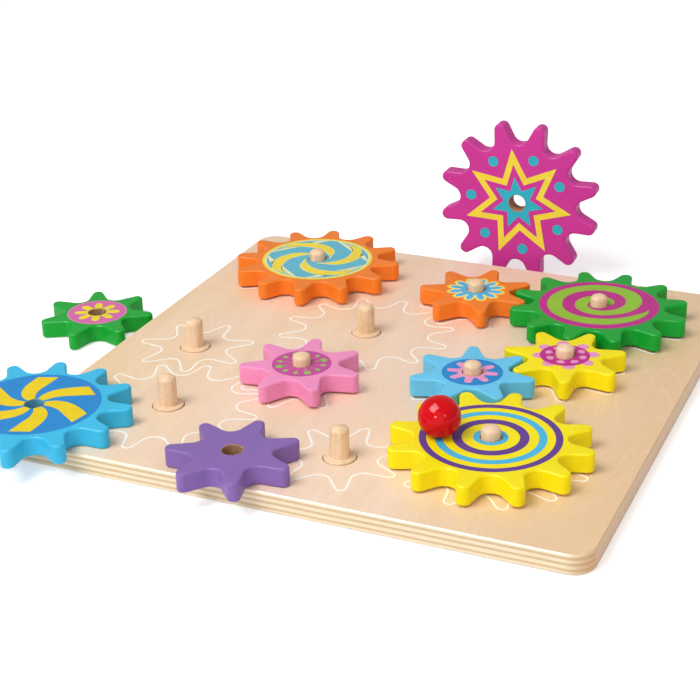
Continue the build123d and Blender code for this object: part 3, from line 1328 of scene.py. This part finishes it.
class WheelSet:
    """The eleven wheels with their prints."""

    def __init__(self, shelf: FinishShelf) -> None:
        """Keeps the shelf of finishes."""
        self.shelf = shelf

    def _wheel(
        self, node: str, body: str, slot: str, form: ToothForm, paint: Paint, phase: float
    ) -> ToothedWheel:
        """Starts a wheel.

        Args:
            node: CAD node of the wheel.
            body: Body of the wheel.
            slot: Record's slot of its paint.
            form: Tooth outline.
            paint: Paint colour.
            phase: Bearing of its first tooth, in degrees.

        Returns:
            The wheel, not yet in place.
        """
        return ToothedWheel(self.shelf, node, body, slot, form, paint, phase)

    def crank(self) -> None:
        """Large yellow wheel with rings in two colours."""
        wheel = self._wheel("wheel_yellow_large", "crank_wheel", "paint_yellow", LARGE, Paint.YELLOW, 34.1)
        wheel.on_peg("peg_crank")
        wheel.layer("purple_rings", Paint.PRINT_PURPLE).band(33.6, 30.2).band(18.0, 13.6).lay()
        wheel.layer("cyan_rings", Paint.PRINT_CYAN).band(26.3, 22.5).band(8.3).lay()

    def sky(self) -> None:
        """Small sky wheel with a pink flower on a blue disc."""
        wheel = self._wheel("wheel_sky_small", "sky_wheel", "paint_sky", SMALL, Paint.SKY, 5.78)
        wheel.on_peg("peg_sky")
        flower = ToothForm(teeth=8, tip_r=13.1, root_r=7.2, tip_arc=1.95, flank_deg=2)
        wheel.layer("blue_disc", Paint.PRINT_BLUE).band(15.5).lay()
        wheel.layer("pink_flower", Paint.PRINT_ROSE).star(flower, 8.3).lay(0.05)

    def yellow_small(self) -> None:
        """Small yellow wheel with a pink-lobed magenta flower."""
        wheel = self._wheel("wheel_yellow_small", "yellow_small_wheel", "paint_yellow", SMALL, Paint.YELLOW, 28.64)
        wheel.on_peg("peg_yellow_small")
        off_axis = (0.3, 0.6)
        wheel.layer("pink_lobes", Paint.PRINT_ROSE).dots(8, 13.9, 22.5, (3.4, 3.3)).nudge(*off_axis).lay()
        wheel.layer("magenta_disc", Paint.PRINT_MAGENTA).band(12.9).lay(0.05)
        petals = wheel.layer("pink_petals", Paint.PRINT_ROSE).dots(8, 8.9, 0, (2.0, 2.3), pinch=0.75)
        petals.nudge(*off_axis).lay(0.1)

    def green_large(self) -> None:
        """Large green wheel with a lime spiral on a magenta disc."""
        wheel = self._wheel("wheel_green_large", "green_large_wheel", "paint_green", LARGE, Paint.GREEN, 25.87)
        wheel.on_peg("peg_green_large")
        wheel.layer("magenta_disc", Paint.PRINT_MAGENTA).band(32.9).lay()
        clear = SHEET.bore_clear
        knots = [
            (2, 27.9, 27.7), (-6, 28.6, 26.2), (-25, 28.4, 22.9), (-50, 28.0, 20.9), (-75, 27.9, 20.1),
            (-105, 28.0, 20.3), (-135, 28.8, 20.6), (-165, 28.4, 20.1), (-195, 28.0, 20.2), (-225, 27.6, 20.1),
            (-255, 27.8, 20.0), (-285, 27.8, 19.2), (-305, 27.2, 17.7), (-330, 24.6, 15.3), (-345, 22.6, 13.9),
            (-360, 20.6, 12.4), (-385, 17.8, 10.9), (-410, 15.9, 9.7), (-440, 15.0, 8.7), (-470, 14.5, 7.8),
            (-500, 13.8, 6.9), (-530, 12.9, 5.9), (-560, 12.4, clear), (-600, 11.8, clear), (-640, 11.0, clear),
            (-670, 9.9, clear), (-695, 8.4, clear), (-712, 6.3, 5.5),
        ]
        spiral = wheel.layer("lime_spiral", Paint.PRINT_LIME).ribbon(smooth_steps(knots, 5))
        spiral.nudge(-0.1, 0.4).lay(0.05)

    def orange_small(self) -> None:
        """Small orange wheel with a blue flower edged in yellow."""
        wheel = self._wheel("wheel_orange_small", "orange_small_wheel", "paint_orange", SMALL, Paint.ORANGE, 37.56)
        wheel.on_peg("peg_orange_small")
        edging = ToothForm(teeth=12, tip_r=17.1, root_r=13.3, tip_arc=3.0, flank_deg=0)
        gaps = ToothForm(teeth=12, tip_r=15.7, root_r=11.4, tip_arc=2.6, flank_deg=-5)
        for level, layer in enumerate((
            wheel.layer("yellow_edging", Paint.PRINT_DAISY_GOLD).star(edging, 2),
            wheel.layer("pale_gaps", Paint.PRINT_CREAM).star(gaps, 2),
            wheel.layer("blue_petals", Paint.PRINT_DAISY_BLUE).dots(12, 11.2, 2, (3.9, 1.9)),
            wheel.layer("blue_heart", Paint.PRINT_DAISY_BLUE).band(8.6),
        )):
            layer.nudge(0.1, -0.4).lay(0.04 * level)

    def orange_large(self) -> None:
        """Large orange wheel with a blue and yellow swirl, each yellow arm edged in cream."""
        wheel = self._wheel("wheel_orange_large", "orange_large_wheel", "paint_orange", LARGE, Paint.ORANGE, 72.2)
        wheel.on_peg("peg_orange_large")
        wheel.layer("blue_disc", Paint.PRINT_SWIRL_BLUE).band(30.6).lay()
        arms = [
            (7.0, 27, 6), (7.5, 36, 10), (8.5, 50, 13), (10, 66, 14), (12.5, 78, 16.5), (15, 88, 18),
            (17.5, 99, 18.8), (20, 110, 19), (22.5, 120, 18.4), (25, 130, 17.2), (28, 146, 16), (30.5, 161, 18),
        ]
        flared = arms[:-2] + [(27.5, 142.5, 19.5), (29.3, 142, 30), (30.5, 141, 40)]
        pale = wheel.layer("pale_swirl", Paint.PRINT_CREAM).band(32.9, 30.4)
        pale.arms(4, 0, smooth_steps(flared, 3)).lay(0.04)
        edge = 0.8
        inset = [(radius, bearing, half - math.degrees(edge / radius)) for radius, bearing, half in arms[1:]]
        yellow = wheel.layer("yellow_swirl", Paint.PRINT_SUN).band(32.9, 31.3)
        yellow.arms(4, 0, smooth_steps(inset, 3)).lay(0.08)

    def pink(self) -> None:
        """Small pink wheel with a ring of green dots on stems."""
        wheel = self._wheel("wheel_pink_small", "pink_wheel", "paint_pink", SMALL, Paint.PINK, 100.5)
        wheel.on_peg("peg_pink")
        wheel.layer("plum_disc", Paint.PRINT_PLUM).band(15.4).lay()
        stems = wheel.layer("pink_stems", Paint.PRINT_STEM).arms(12, 10, [(6, 0, 4), (8, 0, 2.4), (11.6, 0, 1.4)])
        stems.lay(0.03)
        dots = wheel.layer("green_dots", Paint.PRINT_LEAF).dots(4, 11.7, 40, (2.0, 1.8))
        for turn in (10, 70):
            dots.dots(4, 11.6, turn, (1.45, 1.1))
        dots.arms(4, 40, [(7.5, 0, 1.6), (10.5, 0, 2.2)]).lay(0.08)

    def purple(self) -> None:
        """Small plain purple wheel lying on the board."""
        wheel = self._wheel("wheel_purple_small", "purple_wheel", "paint_purple", SMALL, Paint.PURPLE, 40.8)
        wheel.lying("bore_purple", GearBoard.thick)

    def blue(self) -> None:
        """Large blue wheel with yellow blades and paint in its bore, lying on the board's corner."""
        wheel = self._wheel("wheel_blue_large", "blue_wheel", "paint_sky", LARGE, Paint.BLUE_WHEEL, 17.4)
        wheel.bore = DrilledWood("painted_bore", (40, 122, 160), (92, 172, 202), (176, 206, 208))
        wheel.lying("bore_blue", GearBoard.thick)
        wheel.layer("blue_disc", Paint.PRINT_BLUE).band(33.0).lay()
        blades = [
            (SHEET.bore_clear, 81.5, 21.5), (7.5, 81, 20.5), (10, 79, 19.5), (15, 71.5, 17.5),
            (20, 62.5, 15.5), (25, 55.5, 12.6), (30.3, 50, 10.1),
        ]
        wheel.layer("yellow_blades", Paint.PRINT_BLADE).arms(6, 0, smooth_steps(blades, 3)).lay(0.05)

    def green_small(self) -> None:
        """Small green wheel with a yellow flower, lying on the table."""
        wheel = self._wheel("wheel_green_small", "green_small_wheel", "paint_green", SMALL, Paint.GREEN, 18.0)
        wheel.lying("bore_green_small", 0.0)
        wheel.layer("pale_edge", Paint.PRINT_ROSE).band(16.9, 16.0).lay()
        wheel.layer("mallow_disc", Paint.PRINT_MALLOW).band(16.4).lay(0.03)
        wheel.layer("yellow_petals", Paint.PRINT_LEMON).dots(8, 9.3, 26, (3.7, 2.3)).lay(0.06)
        wheel.layer("yellow_heart", Paint.PRINT_LEMON).band(6.7).lay(0.09)

    def magenta(self) -> None:
        """Large magenta wheel with a yellow zigzag and teal star, standing on two teeth on the table."""
        wheel = self._wheel("wheel_magenta_large", "magenta_wheel", "paint_magenta", LARGE, Paint.MAGENTA, 15.0)
        yaw = math.radians(1.0)
        out = Vector((math.sin(yaw), -math.cos(yaw), 0))
        side = Vector((math.cos(yaw), math.sin(yaw), 0))
        up = Vector((0, 0, 1))
        # Height of the axis over the table when the wheel stands on two neighbouring tips.
        rise = (LARGE.tip_r - LARGE.tip_arc) * math.cos(math.pi / LARGE.teeth) + LARGE.tip_arc
        middle = spot("wheel_magenta_large")
        centre = Vector((middle.x, middle.y, rise)) + out * (wheel.thick / 2)
        wheel.make(Matrix.Translation(centre) @ Matrix((side, up, out)).transposed().to_4x4())
        zigzag = ToothForm(teeth=7, tip_r=33.5, root_r=17.2, tip_arc=0.15, flank_deg=22.1, tip_steps=2)
        zigzag_hole = replace(zigzag, tip_r=24.0, root_r=12.4)
        wheel.layer("yellow_zigzag", Paint.PRINT_SUN).star(zigzag, 97.0, zigzag_hole).lay()
        star = ToothForm(teeth=7, tip_r=15.9, root_r=8.4, tip_arc=0.3, flank_deg=22, tip_steps=3)
        teal = wheel.layer("teal_star_and_dots", Paint.PRINT_TEAL).star(star, 96.9)
        for bearing in (27, 71, 122, 175.5, 227, 278, 331.5):
            teal.dots(1, 29.0, bearing, (3.2, 3.1))
        teal.lay()

    def make(self) -> None:
        """Builds every wheel in turn."""
        for build in (
            self.crank, self.sky, self.yellow_small, self.green_large, self.orange_small, self.orange_large,
            self.pink, self.purple, self.blue, self.green_small, self.magenta,
        ):
            build()


# ------------------------------------------------------------------ studio and camera


@dataclass(frozen=True)
class SoftLamp:
    """A square soft lamp: its place and side in metres and its power in watts.

    One that is mirrored in the knob is aimed at it and shows in gloss only, as a window does in lacquer.
    """

    name: str
    place: Triple
    side: float
    power: float
    mirrored: bool = False

    def hang(self) -> None:
        """Adds the lamp, aimed at the knob or at the middle of the board's underside."""
        data = bpy.data.lights.new(self.name, "AREA")
        data.shape = "SQUARE"
        data.size = self.side
        data.energy = self.power
        lamp = add_object(self.name, data)
        lamp.visible_diffuse = not self.mirrored
        place = Vector(self.place)
        way = (spot("crank_knob") * MM if self.mirrored else Vector((0, 0, 0))) - place
        lamp.matrix_world = Matrix.Translation(place) @ way.to_track_quat("-Z", "Y").to_matrix().to_4x4()


@dataclass
class Studio:
    """Camera at the photograph's angle, a pale floor and soft lamps."""

    focal: float = 82.286
    sensor: float = 36.0
    nearest: float = 0.01
    yaw_deg: float = 24.24028
    pitch_deg: float = 24.67699
    roll_deg: float = 1.29787
    eye: Triple = (293.918, -709.734, 370.483)
    floor_reach: float = 6.0
    floor_cells: int = 8
    floor_drop: float = 0.0004
    sky_strength: float = 0.48
    lamps: tuple[SoftLamp, ...] = (
        SoftLamp("key_lamp", (-0.51, -0.84, 1.39), 0.85, 17.0),
        SoftLamp("front_lamp", (0.9, -2.8, 1.1), 3.0, 21.5),
        SoftLamp("window", (-0.55, -0.712, 1.558), 1.3, 66.0, mirrored=True),
        SoftLamp("left_glint", (0.013, -1.715, 0.701), 0.3, 9.0, mirrored=True),
        SoftLamp("right_glint", (1.319, -1.014, 0.837), 0.3, 3.5, mirrored=True),
    )

    def camera(self) -> None:
        """Places the camera."""
        yaw, pitch, roll = (math.radians(turn) for turn in (self.yaw_deg, self.pitch_deg, self.roll_deg))
        forward = Vector((-math.sin(yaw) * math.cos(pitch), math.cos(yaw) * math.cos(pitch), -math.sin(pitch)))
        right = Vector((math.cos(yaw), math.sin(yaw), 0))
        down = forward.cross(right)
        across = right * math.cos(roll) + down * math.sin(roll)
        drop = down * math.cos(roll) - right * math.sin(roll)
        data = bpy.data.cameras.new("camera")
        data.sensor_width = self.sensor
        data.lens = self.focal
        data.clip_start = self.nearest
        camera = add_object("camera", data)
        turn = Matrix((across, -drop, -forward)).transposed().to_4x4()
        camera.matrix_world = Matrix.Translation(Vector(self.eye) * MM) @ turn
        bpy.context.scene.camera = camera

    def floor(self) -> None:
        """Lays the paper just under the table's height."""
        sheet = bmesh.new()
        cells = self.floor_cells
        bmesh.ops.create_grid(sheet, x_segments=cells, y_segments=cells, size=self.floor_reach)
        bmesh.ops.translate(sheet, verts=sheet.verts[:], vec=(0, 0, -self.floor_drop))
        data = bpy.data.meshes.new("studio_floor")
        sheet.to_mesh(data)
        sheet.free()
        data.materials.append(StudioPaper().build())
        floor = add_object("studio_floor", data)

    def sky(self) -> None:
        """Makes the plain white world."""
        world = bpy.data.worlds.new("studio_sky")
        world.use_nodes = True
        tree = world.node_tree
        tree.nodes.clear()
        glow = tree.nodes.new("ShaderNodeBackground")
        glow.inputs["Color"].default_value = (1, 1, 1, 1)
        glow.inputs["Strength"].default_value = self.sky_strength
        tree.links.new(glow.outputs[0], tree.nodes.new("ShaderNodeOutputWorld").inputs["Surface"])
        bpy.context.scene.world = world

    def make(self) -> None:
        """Builds the camera, the floor, the world and the lamps."""
        bpy.context.scene.view_settings.view_transform = "Standard"
        self.camera()
        self.floor()
        self.sky()
        for lamp in self.lamps:
            lamp.hang()
        LOG.info("studio: camera, floor and lamps")


def main() -> None:
    logging.basicConfig(level=logging.INFO, format="%(name)s %(message)s")
    shelf = FinishShelf()
    Studio().make()
    GearBoard().make(shelf)
    for node in sorted(frame["nodes"]):
        if node.startswith("peg_"):
            TurnedPeg(node).make(shelf)
    WheelSet(shelf).make()
    CrankKnob().make(shelf)


if __name__ == "__main__":
    main()
